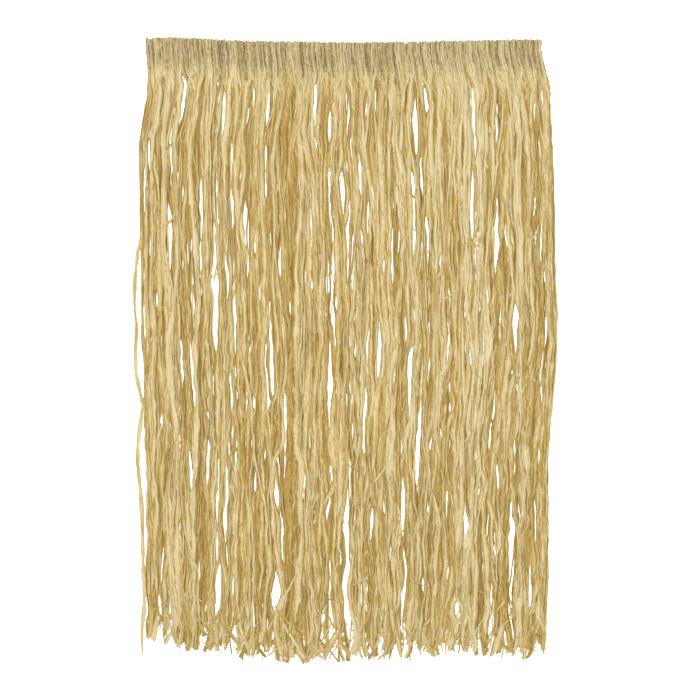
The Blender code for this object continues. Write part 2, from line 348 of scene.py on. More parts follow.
def twisted_thread(name):
    """Sewing thread: a slanting two-ply twist along each stitch, with painted shade in the grooves between
    the plies. The grain attribute is the angle round the thread, the distance along it in metres, and the
    stitch's own number."""
    paint = Paint(name)
    thread = colours().thread
    grain = {"Vector": paint.carried("grain", "Vector")}
    around = paint.node("ShaderNodeSeparateXYZ", {}, grain, "X")
    along = paint.node("ShaderNodeSeparateXYZ", {}, grain, "Y")
    ply = (around * 2.0 + along * 5200.0).sine() * 0.5 + 0.5
    paint.surface({
        # painted shade: darker where the bump puts the grooves between the plies
        "Base Color": paint.mix(ply, rgba(thread, 0.78), rgba(thread)),
        "Roughness": 0.6,
        "Normal": paint.bump(ply, 0.6, 0.06 * MM),
    })
    return paint.material


# ---- ribbons
PRESSED = 1.7 * MM         # the most a lying ribbon stands off its path
FLOOR_GAP = 0.05 * MM
CREASE_ANGLE = 20.0        # degrees, above which a fold of the paper is a sharp crease
HALF_GRID = (0.30, 0.45)   # half the size of the grid that neighbours share, past the skirt's


def smooth_step(value):
    """A smooth rise from 0 to 1 as the value goes from 0 to 1: t^2 (3 - 2 t)."""
    value = np.clip(value, 0.0, 1.0)
    return value * value * (3.0 - 2.0 * value)


def bell(distance, reach):
    """A smooth hump, 1 at distance 0: exp(-(distance / reach)^2)."""
    return np.exp(-((distance / reach) ** 2))


def jitter(rng, *shape):
    """Random values from -1 to 1."""
    return rng.uniform(-1.0, 1.0, shape)


def unit(vectors):
    """Vectors made one long."""
    return vectors / np.maximum(np.linalg.norm(vectors, axis=-1, keepdims=True), 1e-12)


def path_lengths(centre):
    """The distance from each path's start to every station of it."""
    step = np.linalg.norm(np.diff(centre, axis=1), axis=-1)
    return np.hstack((np.zeros((len(step), 1)), np.cumsum(step, axis=1)))


def drift(rng, along, spacing, kinked=False):
    """Uneven wander along each strand, from -1 to 1: values drawn at knots spacing apart, joined
    by smooth curves, or by straight lines where it is kinked."""
    count = along.shape[0]
    values = jitter(rng, count, int(along.max() / spacing) + 4)
    place = np.maximum(along, 0.0) / spacing + rng.random((count, 1))
    cell = np.floor(place).astype(int)
    part = place - cell
    if not kinked:
        part = smooth_step(part)
    row = np.arange(count)[:, None]
    return values[row, cell] * (1.0 - part) + values[row, cell + 1] * part


def wander(rng, along, turns):
    """Kinked drifts added up. Turns lists how far each goes and its spacing."""
    return sum(far * drift(rng, along, spacing, True) for far, spacing in turns)


def shared_drift(seed, x, y, wide, long):
    """The wander that neighbouring strands share, from -1 to 1: values drawn on a grid over the
    skirt, wide apart across and long apart down, joined by smooth curves."""
    across = (x + HALF_GRID[0]) / wide
    down = (y + HALF_GRID[1]) / long
    cells = (int(2.0 * HALF_GRID[0] / wide) + 3, int(2.0 * HALF_GRID[1] / long) + 3)
    values = jitter(np.random.default_rng(seed), *cells)
    i, j = np.floor(across).astype(int), np.floor(down).astype(int)
    u, v = smooth_step(across - i), smooth_step(down - j)
    left = values[i, j] * (1.0 - v) + values[i, j + 1] * v
    right = values[i + 1, j] * (1.0 - v) + values[i + 1, j + 1] * v
    return left * (1.0 - u) + right * u


def carry_ribbons(centre, roll, half, crumple, fold, seed):
    """Closed ribbons carried along paths. At each station the ribbon's side direction is the X
    axis turned by roll in the XZ plane and made square to the path; its columns are spread over
    half either way, and fold (columns apart) lifts them off the path by crumple. Each column has
    a top and an under point, thickness apart, less at the edges. Whatever stands up is pressed
    down as it lies on the floor: its height off the path goes to PRESSED tanh(height / PRESSED).
    Returns the points, their grain, and how far each stands off the ribbon's mean, in crumples."""
    columns = fold.shape[-1]
    travel = unit(np.gradient(centre, axis=1))
    side = np.stack((np.sin(roll), np.zeros_like(roll), -np.cos(roll)), axis=-1)
    side = unit(side - travel * np.sum(side * travel, axis=-1, keepdims=True))
    normal = np.cross(travel, side)
    spread = np.linspace(-1.0, 1.0, columns)
    across = half[..., None] * spread
    ridge = fold - fold.mean(axis=-1, keepdims=True)
    sheet = centre[:, :, None, :] + side[:, :, None, :] * across[..., None]
    sheet = sheet + normal[:, :, None, :] * (crumple[..., None] * ridge)[..., None]
    middle = centre[:, :, None, 2]
    sheet[..., 2] = middle + PRESSED * np.tanh((sheet[..., 2] - middle) / PRESSED)
    outward = unit(np.cross(travel[:, :, None, :], np.gradient(sheet, axis=2)))
    skin = outward * (0.5 * sizes().ribbon_thickness * (1.0 - 0.5 * spread**4))[:, None]
    points = np.concatenate((sheet + skin, (sheet - skin)[:, :, ::-1]), axis=2)
    points[..., 2] += np.maximum(FLOOR_GAP - points[..., 2].min(axis=2, keepdims=True), 0.0)

    own = np.random.default_rng(seed).random((len(centre), 1, 1)) * 8.0
    flat = spread * np.hypot(half, crumple)[..., None]
    across = np.concatenate((flat, flat[..., ::-1]), axis=-1) + own
    along = path_lengths(centre)[..., None] + own
    grain = np.stack(np.broadcast_arrays(across, along, own), axis=-1)
    ridges = np.concatenate((ridge, ridge[..., ::-1]), axis=-1)
    return points, grain, ridges


def ribbons_mesh(name, points, grain, tone, gathered=0.0):
    """A mesh of closed ribbons or tubes: quads round each ring and along the path, and a strip of
    quads across each end. Quads underneath start one corner later, so that both faces of a twisted
    ribbon split along the same diagonal and never cross."""
    count, stations, ring, _ = points.shape
    index = np.arange(count * stations * ring).reshape(count, stations, ring)
    here, there = index[:, :-1], index[:, 1:]
    wall = np.stack((here, there, np.roll(there, -1, 2), np.roll(here, -1, 2)), axis=-1)
    wall[:, :, ring // 2 :] = np.roll(wall[:, :, ring // 2 :], -1, axis=-1)
    over = index[:, :, : ring // 2]
    under = index[:, :, : ring // 2 - 1 : -1]
    cap = np.stack((over[..., :-1], over[..., 1:], under[..., 1:], under[..., :-1]), axis=-1)
    quads = np.concatenate(
        (wall.reshape(-1, 4), cap[:, 0].reshape(-1, 4), cap[:, -1, :, ::-1].reshape(-1, 4))
    )
    mesh = bpy.data.meshes.new(name)
    mesh.vertices.add(index.size)
    mesh.vertices.foreach_set("co", points.ravel())
    mesh.loops.add(quads.size)
    mesh.loops.foreach_set("vertex_index", quads.ravel())
    mesh.polygons.add(len(quads))
    mesh.polygons.foreach_set("loop_start", np.arange(0, quads.size, 4))
    mesh.update(calc_edges=True)
    mesh.set_sharp_from_angle(angle=np.radians(CREASE_ANGLE))
    made = mesh.attributes.new("grain", "FLOAT_VECTOR", "POINT")
    made.data.foreach_set("vector", np.broadcast_to(grain, points.shape).ravel())
    for key, values in (("tone", tone), ("gathered", gathered)):
        made = mesh.attributes.new(key, "FLOAT", "POINT")
        made.data.foreach_set("value", np.broadcast_to(values, points.shape[:3]).ravel())
    return mesh


def add_piece(mesh, finish, replaced=()):
    """A finished piece that rides on the skirt's one body, named as its mesh is."""
    mesh.materials.append(finish)
    piece = bpy.data.objects.new(mesh.name, mesh)
    bpy.context.scene.collection.objects.link(piece)
    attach(piece, "root")
    if replaced:
        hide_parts(*replaced)
    return piece


# ---- the strands
# The openings where strands part and the floor shows, in millimetres: centre, length, width, and
# how far the opening leans to the right from its top to its foot.
Slit = namedtuple("Slit", "x y long wide lean")
SLITS = [Slit(*(size / 1000.0 for size in row)) for row in (
    (-198, 220, 76, 3.4, 2),
    (-147.5, 69, 165, 8.4, 1),
    (-138, 270, 73, 4.8, -3),
    (-145, -277, 76, 6.6, -4),
    (-144, -150, 70, 4.2, 1),
    (-135, -234, 32, 4, 4),
    (-82.6, -17, 80, 5.8, 3),
    (-80, -277, 53, 8.8, -4),
    (-80, -150, 60, 4, -1),
    (-60, 174, 85, 3.6, 1),
    (-17.8, 254, 41, 5.2, 2),
    (-17.2, -37, 142, 4.8, -2),
    (-3.5, 178, 59, 6.4, 4),
    (1, -79, 69, 3, 1),
    (11.3, -188, 30, 4.8, 2),
    (30.6, -198, 50, 8, -4),
    (32.9, 157, 74, 4.4, 2),
    (35.2, 285, 61, 4.4, 1),
    (38.6, -2, 74, 6.2, -2),
    (72.7, -42, 94, 5.8, 3),
    (78.4, 150, 118, 5.2, -2),
    (79.5, 248, 61, 5.8, 3),
    (93.8, 287, 30, 5.8, 8),
    (82, -136, 50, 4, -5),
    (81.5, -223, 82, 4.4, -2),
    (120.2, -185, 40, 3.4, -2),
    (134.8, -200, 30, 4.2, 2),
    (128.5, -297, 26, 7.8, 3),
    (155, -155, 28, 4.2, -1),
    (193.9, 18, 79, 5.6, 2),
    (196.3, -180, 34, 3.4, 3),
    (200.2, 265, 30, 4.6, 1),
    (211, -270, 63, 5.8, -4),
    (215.4, -183, 48, 3, 3),
    (222.9, 215, 58, 4.6, 1),
)]
SLIT_REACH = 1.5           # strands start to part this many half lengths from a slit's middle


def part_at_slits(x, y, half):
    """Strands moved aside from every slit, to the side each is on half way down it. There, at
    distance d from the slit's crooked middle, a strand goes to sqrt(d^2 + room^2), and where it
    has crossed over by d, to room - d (1 - near), with near going from 0 at SLIT_REACH to 1 beside
    the slit. Room is a part of the slit's uneven lens and a part of the strand's half width times
    near. Wide slits are kept clear, and narrow ones half hidden."""
    row = np.arange(len(x))
    uneven = shared_drift(8, x, y, 0.05, 0.017)
    crooked = shared_drift(9, x, y, 0.05, 0.024)
    for slit in SLITS:
        down = (y - slit.y) / (slit.long / 2.0)
        middle = slit.x - slit.lean * down / 2.0 + 1.2 * MM * crooked
        lens = np.clip(1.0 - down**2, 0.0, None) ** 0.8 * (1.0 + 0.5 * uneven)
        near = smooth_step(1.5 * (1.0 - np.abs(down) / SLIT_REACH))
        clear = smooth_step((slit.wide - 2.5 * MM) / (4.5 * MM))
        room = (0.20 + 0.22 * clear) * slit.wide * lens + (0.44 + 0.38 * clear) * half * near
        apart = x - middle
        level = np.argmin(np.abs(down), axis=1)
        side = np.where(apart[row, level] >= 0.0, 1.0, -1.0)[:, None]
        away = side * apart
        moved = np.where(away > 0.0, np.hypot(away, room), room + away * (1.0 - near))
        x = middle + side * moved
    return x


# One side of the skirt: its strands and their stations below the waist, the way it faces in
# degrees, the lowest and highest level they lie at, the hanks they stand for, the share that are
# broken short, and the tone of the deepest.
Layer = namedtuple("Layer", "seed strands rows facing low high nodes short tone")
# Down every strand: Y and the top edge's Y, how far it is below the lower stitch row and above
# the strand's end, and how free of the waist and how opened out of its pleats it is.
Course = namedtuple("Course", "y top below above_end free opened")
# A layer made: points and their attributes by strand, station and column, and X at the waist.
Grass = namedtuple("Grass", "points grain tone gathered waist_x")

COLUMNS = 5                # points across a ribbon, enough for two pleats
CREST = np.array((-0.7, -0.2, 1.1, 0.0, -0.7))   # one ridge across the columns
TO_EDGE = np.tile(np.linspace(-1.0, 1.0, COLUMNS) ** 2, 2)   # 0 mid ribbon, 1 at both edges
WAIST_MIDDLE = 0.46 * CAD_BOX[1].z   # Z of the middle of the flattened waist
WALL_MIDDLE = 2.0 * MM     # the waist's wall, measured from the middle of the flattened tube
CROWN_RADIUS = 0.85 * MM   # the fold of a strand over the top edge
INNER_LEG = 33.0 * MM      # how far a strand's other end runs down inside the waist
HEAD_SPACING = 6.8 * MM    # between the rounded heads along the top edge
HEAD_RISE = 2.4 * MM       # from between two heads to the top of one
HEAD_ROUND = 1.7 * MM      # how far a strand's edges sit below the middle of its rounded head
INNER_ROWS = 6             # stations down a strand: inside the waist, over its top edge, down the
CROWN_ROWS = 6             # casing, and down the heading
CASING_ROWS = 9
HEADING_ROWS = 7
SIDE_INSET = 1.2 * MM      # of the outer lanes from the side edges
POINT_LENGTH = 24.0 * MM   # over which a pointed strand narrows
PINCH_DEPTH = 0.20 * MM    # how far the thread pulls the raffia in along a stitch row
PINCH_REACH = 1.8 * MM
SIDE_FOLD = 2.2 * MM       # how far the side folds of the waist reach in
MOST_CRUMPLE = 1.9 * MM    # a fold of one stands this far off the path at most

# How far a strand strays from its lane and the spacing of its turns: all the way down, more of it
# low down, and its small kinks.
STRAYS = ((5.6 * MM, 0.150), (3.6 * MM, 0.066), (0.8 * MM, 0.032))
LOW_STRAYS = ((3.6 * MM, 0.048),)
KINKS = ((0.60 * MM, 0.019), (0.45 * MM, 0.009))


def evenly(start, stop, rows):
    """Places after start up to stop, one row of them for each strand."""
    part = (np.arange(rows) + 1.0) / rows
    return start[:, None] + (stop - start)[:, None] * part


def waist_path(rng, waist_x):
    """Y down the waist and distance out from its wall's middle: up inside the casing, over the
    scalloped top edge in a half circle, and down past both stitch rows. With them, Y of the top
    edge and of the lower stitch row."""
    count = len(waist_x)
    heads = np.abs(np.cos(np.pi * (waist_x + rng.uniform(-0.5, 0.5, count) * MM) / HEAD_SPACING))
    top = np.interp(waist_x, *TOP_RIM) - HEAD_RISE * (1.0 - np.sqrt(heads))
    shoulder = top - rng.random(count) * 0.8 * MM - CROWN_RADIUS
    upper = np.interp(waist_x, *UPPER_ROW)
    lower = np.interp(waist_x, *LOWER_ROW)
    turn = np.linspace(np.pi, 0.0, CROWN_ROWS)
    inner = shoulder[:, None] - np.linspace(INNER_LEG, 1.0 * MM, INNER_ROWS)
    crown = shoulder[:, None] + CROWN_RADIUS * np.sin(turn)
    casing = evenly(shoulder, upper, CASING_ROWS)
    heading = evenly(upper, lower, HEADING_ROWS)
    y = np.hstack((inner, crown, casing, heading))
    outer_rows = CASING_ROWS + HEADING_ROWS
    out = np.concatenate((np.full(INNER_ROWS, -1.0), np.cos(turn), np.ones(outer_rows)))
    pinch = bell(y - upper[:, None], PINCH_REACH) + bell(y - lower[:, None], PINCH_REACH)
    return y, CROWN_RADIUS * out - PINCH_DEPTH * pinch * (out > 0.5), top, lower


def strand_ends(rng, layer, waist_x):
    """Y of each strand's end: most just above the longest of its hank, a few broken short."""
    count = len(waist_x)
    ends = hem(hank_spans(layer.nodes), waist_x) + sizes().raggedness * rng.beta(0.8, 1.7, count)
    broken = rng.random(count) < layer.short
    return ends + np.where(broken, rng.uniform(0.015, 0.16, count), 0.0)


def flat_widths(rng, count, below):
    """Flat ribbon widths. About a quarter of the strands split into narrow strips under the
    waist."""
    mean = sizes().ribbon_width
    full = np.clip(rng.normal(mean, 0.20 * mean, count), 0.76 * mean, 1.6 * mean)[:, None]
    strip = full * rng.uniform(0.12, 0.50, (count, 1))
    splits = rng.random((count, 1)) < 0.28
    return np.where(splits, full + (strip - full) * smooth_step(below / 0.045), full)


def gathering(rng, below, opened):
    """How wide a ribbon lies as a share of its flat width: tightly pleated in the casing, and
    unevenly loose where it has opened."""
    loose = 0.72 + 0.20 * drift(rng, below, 0.080) + 0.17 * drift(rng, below, 0.022, True)
    loose += 0.20 * drift(rng, below, 0.009, True)
    pleated = 0.475 + 0.08 * jitter(rng, *below.shape)
    return np.clip(pleated + (loose - pleated) * opened, 0.30, 0.98)


def strand_x(rng, share, y, below, half, ends):
    """X down each strand: its lane, its own wander and its neighbours', parted at the slits, with
    kinks, and a bend near the end."""
    count = len(y)
    own = sizes()
    free = smooth_step(below / rng.uniform(0.008, 0.036, (count, 1)))
    free = free * np.clip(np.minimum(share, 1.0 - share) / 0.025, 0.40, 1.0)[:, None]
    splay = rng.normal(0.0, 3.9 * MM, (count, 1)) * smooth_step(below / 0.022)
    stray = wander(rng, below, STRAYS)
    low_down = smooth_step((below - 0.18) / 0.30)
    stray += low_down * wander(rng, below, LOW_STRAYS)
    crosses = np.where(rng.random((count, 1)) < 0.35, jitter(rng, count, 1), 0.0)
    stray += 17.0 * MM * crosses * smooth_step((below - rng.uniform(0.0, 0.40, (count, 1))) / 0.24)
    x = lane(share[:, None], y, SIDE_INSET + 1.0 * MM * smooth_step(below / 0.060))
    x = x + own.wander * free * (stray + splay * (1.0 - 0.8 * smooth_step((below - 0.03) / 0.10)))
    x = x + free * 1.1 * MM * shared_drift(5, x, y, 0.013, 0.060)
    x = x + free * 0.8 * MM * shared_drift(6, x, y, 0.008, 0.020)
    left, right = sides(y)
    x = np.clip(x, left + 0.8 * half, right - 0.8 * half)
    x = part_at_slits(x, y, half)
    kinks = wander(rng, below, KINKS)
    tangle = 0.6 + 0.9 * smooth_step(below / 0.640)
    x = x + own.wander * tangle * smooth_step(below / 0.030) * kinks
    bend_at = ends[:, None] + rng.uniform(0.006, 0.038, (count, 1))
    bend = np.clip(rng.normal(0.0, 0.36, (count, 1)), -1.0, 1.0)
    x = x + bend * np.maximum(bend_at - y, 0.0)
    room = 0.3 * half + rng.uniform(-1.3, 0.9, (count, 1)) * MM
    return np.clip(x, left + room, right - room)


def taper(rng, course):
    """A strand's width as a share of its own: some are pointed, all narrow a little to their end,
    and the skirt is a little thinner near the hips and fuller low down."""
    pointed = rng.random((len(course.y), 1)) < 0.42
    narrow = 0.16 + 0.84 * np.clip(course.above_end / POINT_LENGTH, 0.0, 1.0) ** 0.7
    share = np.where(pointed, narrow, 1.0)
    share = share * (0.86 + 0.14 * np.clip(course.above_end / 0.050, 0.0, 1.0))
    share = share * (1.0 - 0.17 * bell(course.y - 0.110, 0.080))
    return share * (1.0 + 0.05 * bell(course.y + 0.190, 0.075))


def folds(rng, course):
    """How far each column stands off the ribbon's path, in crumples: one ridge or two sharp
    pleats at the waist, softening into creases and crinkles."""
    count = len(course.y)
    zigzag = (np.arange(COLUMNS) % 2) * rng.choice((-1.0, 1.0), (count, 1, 1))
    zigzag = np.where(rng.random((count, 1, 1)) < 0.70, CREST, zigzag)
    down = course.top + INNER_LEG + 10.0 * MM - course.y
    creases = np.stack(
        [drift(rng, down, 0.070) + 0.5 * drift(rng, down, 0.013, True) for _ in range(COLUMNS)],
        axis=-1,
    )
    crinkles = rng.normal(0.0, 0.26, (*course.y.shape, COLUMNS))
    loose = course.opened[..., None]
    return zigzag * (1.0 - 0.35 * loose) + (0.80 - 0.20 * loose) * creases + crinkles


def strand_tone(rng, layer, course, level, ridges):
    """Tone of every point: each strand's own random tone; lower for strands lying low, as painted shade
    under the strands above; painted shade in the hollows of a ribbon and painted light on its ridges, on
    the side that faces up; painted shade at its edges and on the top edge of the waist, where the fold
    turns away from the light; more even at the waist, and paler near the hem."""
    # painted shade: the lower a strand lies, the lower its tone, on top of its own random tone
    tone = layer.tone + 0.64 * level + rng.normal(0.05, 0.23, level.shape)
    tone = tone + 0.10 * drift(rng, course.below, 0.120)
    tone = tone + (0.64 + 0.03 * course.opened - tone) * 0.70 * (1.0 - course.free)
    tone = tone + 0.21 * np.clip(1.0 - course.above_end / 0.070, 0.0, 1.0)
    # painted shade along the top edge of the waist, where the fold turns away from the light
    tone = tone - 0.35 * bell(course.y - course.top, 1.6 * MM)
    loose = course.opened[..., None]
    upward = 1.0 - loose + loose * np.sign(layer.facing)
    # painted shade in the hollows and painted light on the ridges of each ribbon, and painted shade at its
    # edges
    return tone[..., None] + (2.6 - 1.75 * loose) * upward * ridges - 0.24 * loose * TO_EDGE


def grow(layer):
    """All strands of one layer, from inside the casing, over its top edge, down the face of the
    casing and the heading, and down the skirt to the hem."""
    rng = np.random.default_rng(layer.seed)
    count = layer.strands
    share = (np.arange(count) + 0.5 + rng.uniform(-0.24, 0.24, count)) / count
    level = rng.random((count, 1))
    waist_x = lane(share, np.full(count, LOWER_ROW[1].mean()), SIDE_INSET)

    wall_y, wall_out, top, lower = waist_path(rng, waist_x)
    ends = strand_ends(rng, layer, waist_x)
    y = np.hstack((wall_y, evenly(lower, ends, layer.rows)))
    out = np.hstack((wall_out, np.full((count, layer.rows), CROWN_RADIUS)))
    out = out + 0.1 * MM * (level - 0.5)
    below = np.maximum(lower[:, None] - y, 0.0)
    free = smooth_step(below / 0.050)
    opened = smooth_step((np.interp(waist_x, *UPPER_ROW)[:, None] - y) / 0.028)
    opened[:, : INNER_ROWS + CROWN_ROWS] = 0.0
    course = Course(y, top[:, None], below, y - ends[:, None], free, opened)

    flat = flat_widths(rng, count, below)
    narrowing = taper(rng, course)
    spread = gathering(rng, below, opened)
    half = 0.5 * flat * spread * narrowing
    crumple = np.minimum(flat / (COLUMNS - 1.0) * np.sqrt(1.0 - spread**2), MOST_CRUMPLE) * narrowing
    crumple = crumple * (1.0 - 0.6 * bell(y - course.top, 2.0 * MM))

    x = strand_x(rng, share, y, below, half, ends)
    sway = 0.7 * MM * (1.0 - free) * drift(rng, course.top - y + 0.04, 0.008, True)
    inside = np.zeros(y.shape[1])
    inside[:INNER_ROWS] = np.linspace(1.0, 0.0, INNER_ROWS)
    x = x + sway + inside * rng.uniform(-3.5, 3.5, (count, 1)) * MM
    left, right = sides(y)
    at_waist = below <= 0.0
    x = np.where(at_waist, np.clip(x, left + 0.9 * half, right - 0.9 * half), x)

    # round the folds at the sides of the waist, then flat on the floor at the strand's own level
    edge = np.exp(-(x - left) / SIDE_FOLD) - np.exp(-(right - x) / SIDE_FOLD)
    facing = np.radians(layer.facing + np.sign(layer.facing) * 70.0 * np.clip(edge, -1.0, 1.0))
    hung = WAIST_MIDDLE + np.sin(facing) * (WALL_MIDDLE + out)
    lying = layer.low + (layer.high - layer.low) * level + 0.55 * MM * drift(rng, below, 0.055)
    z = hung + (lying - hung) * smooth_step(below / 0.050)
    x = x + 0.5 * np.cos(facing) * (WALL_MIDDLE + out) * (1.0 - smooth_step(below / 0.030))

    # turns of the ribbon about its path, and half of the strands turning right over once
    turned = free * (18.0 * drift(rng, below, 0.045) + 24.0 * drift(rng, below, 0.130))
    over_at = rng.uniform(0.08, 0.60, (count, 1))
    over = rng.choice((-180.0, 0.0, 0.0, 180.0), (count, 1)) * smooth_step((below - over_at) / 0.070)
    half = half * (1.0 - 0.40 * np.sin(np.radians(over)) ** 2)
    roll = facing + np.radians(turned + over)

    fold = folds(rng, course)
    centre = np.stack((x, y, z), axis=-1)
    points, grain, ridges = carry_ribbons(centre, roll, half, crumple, fold, layer.seed)

    # ends torn at a slant, and rounded heads along the top edge
    torn = rng.uniform(-0.8, 0.8, (count, 1)) * np.clip(1.0 - course.above_end / 0.010, 0.0, 1.0)
    points[..., 1] += torn[..., None] * (points[..., 0] - x[..., None])
    head = HEAD_ROUND * bell(y - course.top, 3.0 * MM)
    points[..., 1] -= head[..., None] * TO_EDGE
    tone = strand_tone(rng, layer, course, level, ridges)
    return Grass(points, grain, tone, (1.0 - opened)[..., None], waist_x)


def stitched_rows():
    """The stations at which every strand passes the upper and the lower stitch row."""
    upper = INNER_ROWS + CROWN_ROWS + CASING_ROWS - 1
    return upper, upper + HEADING_ROWS


def front_layer():
    """The front, which faces up."""
    return Layer(
        seed=11, strands=sizes().front_strands, rows=150, facing=90.0,
        low=2.9 * MM, high=6.2 * MM, nodes=FRONT_NODES, short=0.10, tone=0.14,
    )


def back_layer():
    """The back, which faces down and lies on the floor."""
    return Layer(
        seed=29, strands=sizes().back_strands, rows=96, facing=-90.0,
        # a lower base tone than the front: painted shade under the front layer
        low=0.7 * MM, high=2.5 * MM, nodes=BACK_NODES, short=0.12, tone=0.04,
    )


def flat_size(points):
    """The size of the raffia in a set of ribbons, laid side by side: half the girth of each ring
    over the step to the next gives the area, and the mean length divides it."""
    ring = np.linalg.norm(points - np.roll(points, -1, axis=2), axis=-1).sum(axis=2)
    step = np.linalg.norm(np.diff(points.mean(axis=2), axis=1), axis=-1)
    area = float((0.25 * (ring[:, 1:] + ring[:, :-1]) * step).sum())
    length = float(step.sum(axis=1).mean())
    return area / length, length


# ---- loose pieces and thread
def middle_line(node, bands):
    """The middle of an upright CAD strand in even bands down it, from its top to its foot."""
    points = node_points(node)
    points = points[np.argsort(-points[:, 1])]
    return np.array([band.mean(axis=0) for band in np.array_split(points, bands)])


def along_route(route, stations):
    """Evenly spaced places along a route of points, joined by straight lines."""
    step = np.linalg.norm(np.diff(route, axis=0), axis=1)
    along = np.concatenate(([0.0], np.cumsum(step)))
    places = np.linspace(0.0, along[-1], stations)
    return np.stack([np.interp(places, along, part) for part in route.T], axis=-1)


def loose_ribbons(seed, centre, flat, tone, tip, point_top):
    """Loose raffia along paths: flat is each one's flat width and tone its tone. They narrow over
    the last part of their length, which tip gives, and where point_top at the top too."""
    rng = np.random.default_rng(seed)
    count, stations = centre.shape[:2]
    part = np.linspace(0.0, 1.0, stations)
    narrow = np.clip((1.0 - part) / tip, 0.12, 1.0)
    if point_top:
        narrow = narrow * np.clip(part / 0.30, 0.12, 1.0)
    long = np.linalg.norm(np.diff(centre, axis=1), axis=-1).sum(axis=1)
    jagged = 1.0 + 0.35 * drift(rng, long[:, None] * part, 12.0 * MM, True)
    half = 0.5 * flat[:, None] * narrow * jagged
    roll = np.radians(90.0 + 30.0 * jitter(rng, count, 1) * np.sin(4.0 * part))
    crumple = 0.15 * half
    fold = jitter(rng, count, stations, 3)
    points, grain, ridges = carry_ribbons(centre, roll, half, crumple, fold, seed)
    # tone with painted shade in the folds and painted light on the ridges
    return points, grain, np.clip(tone[:, None, None] + 0.25 * ridges, 0.05, 1.0)


def wisps(seed, count, stations, low_end):
    """Slivers that have split off the strands, as paths, flat widths and tones. Each starts at a
    random place, at least low_end above the hem and half of them near it, leans by its own angle
    and curls by its own amount over its length. None hangs lower than the longest strands."""
    rng = np.random.default_rng(seed)
    x = rng.uniform(0.02, 0.98, count)
    up = rng.uniform(0.0, 1.0, count)
    near_hem = rng.random(count) < 0.50
    spans = hank_spans(FRONT_NODES)
    left, right = LEFT_RIM[1][0], RIGHT_RIM[1][0]
    start_x = left + x * (right - left)
    foot = hem(spans, start_x) + low_end
    start_y = foot + np.where(near_hem, 0.010 + 0.065 * up, 0.06 + 0.52 * up)
    start_x = np.where(near_hem, start_x, lane(x, start_y, 8.0 * MM))
    long = np.where(near_hem, rng.uniform(0.018, 0.050, count), rng.uniform(0.012, 0.034, count))
    lean = rng.normal(0.0, 0.42, count)
    curl = np.clip(rng.normal(0.0, 0.6, count), -1.1, 1.1)
    part = np.linspace(0.0, 1.0, stations)
    angle = lean[:, None] + curl[:, None] * part + 0.25 * jitter(rng, count, stations)
    step = long[:, None] / (stations - 1.0)
    path_x = start_x[:, None] + np.cumsum(np.sin(angle) * step, axis=1)
    path_y = start_y[:, None] - np.cumsum(np.cos(angle) * step, axis=1)
    hang = (hem(spans, path_x) - path_y).max(axis=1, keepdims=True)
    path_x = np.clip(path_x, left + 1.0 * MM, right - 1.0 * MM)
    path_y = path_y + np.maximum(hang + rng.uniform(0.0, 3.0, (count, 1)) * MM, 0.0)
    path_z = rng.uniform(3.0, 7.0, (count, 1)) * MM + 0.5 * MM * np.sin(5.0 * part)
    wide = rng.random(count) < 0.52
    flat = np.where(wide, rng.uniform(1.8, 3.6, count), rng.uniform(0.8, 1.6, count)) * MM
    tone = rng.normal(0.50, 0.22, count)
    return np.stack(np.broadcast_arrays(path_x, path_y, path_z), axis=-1), flat, tone


# Slivers that lie across the strands, in millimetres: X and Y where each starts, X and Y where it
# ends, and its width.
CROSSINGS = (
    (53, -124, 29, -156, 2.4),
    (-26, -281, -4, -289, 4.0),
    (35, -293, 56, -303, 3.0),
    (-184, -322, -196, -344, 2.2),
    (108, -263, 120, -267, 2.6),
    (149, -273, 166, -279, 2.4),
    (90, -278, 103, -280, 2.2),
    (-54, -253, -80, -302, 3.0),
    (-230, -236, -208, -218, 1.2),
)
CROSSING_HEIGHT = 6.9 * MM


def stitch_paths(row, sign, pitch, gap):
    """Paths of the stitches along a row: each arches over the raffia and dives in at both ends,
    on the front where sign is 1 and the back where it is -1."""
    left, right = row[0].min() + 2.0 * MM, row[0].max() - 2.0 * MM
    count = int((right - left) / pitch)
    start = left + np.arange(count)[:, None] * pitch
    part = np.linspace(0.0, 1.0, 5)
    x = start + part * (pitch - gap)
    rng = np.random.default_rng(71 + sign)
    y = np.interp(x, *row) + 0.25 * MM * jitter(rng, count, 1)
    height = WALL_MIDDLE + CROWN_RADIUS + 0.35 * MM + 0.35 * MM * rng.random((count, 1))
    arch = 0.9 * MM * (1.0 - np.abs(2.0 * part - 1.0) ** 3) - 0.4 * MM
    z = WAIST_MIDDLE + sign * (height + arch)
    z = np.maximum(z, sizes().thread_diameter / 2.0 + FLOOR_GAP)
    return np.stack(np.broadcast_arrays(x, y, z), axis=-1)


def thread_tubes(centre, seed):
    """Closed six-sided tubes of thread along paths, with their grain and an even tone."""
    radius = sizes().thread_diameter / 2.0
    travel = unit(np.gradient(centre, axis=1))
    up = np.broadcast_to((0.0, 1.0, 0.0), travel.shape)
    side = unit(np.cross(travel, up))
    up = np.cross(side, travel)
    turn = np.radians((150.0, 90.0, 30.0, -30.0, -90.0, -150.0))
    ring = side[:, :, None, :] * np.cos(turn)[:, None] + up[:, :, None, :] * np.sin(turn)[:, None]
    points = centre[:, :, None, :] + radius * ring[:, :, ::-1]
    own = np.random.default_rng(seed).random((len(centre), 1, 1))
    grain = np.stack(np.broadcast_arrays(turn, path_lengths(centre)[..., None], own), axis=-1)
    return points, grain, np.full(points.shape[:3], 0.6)


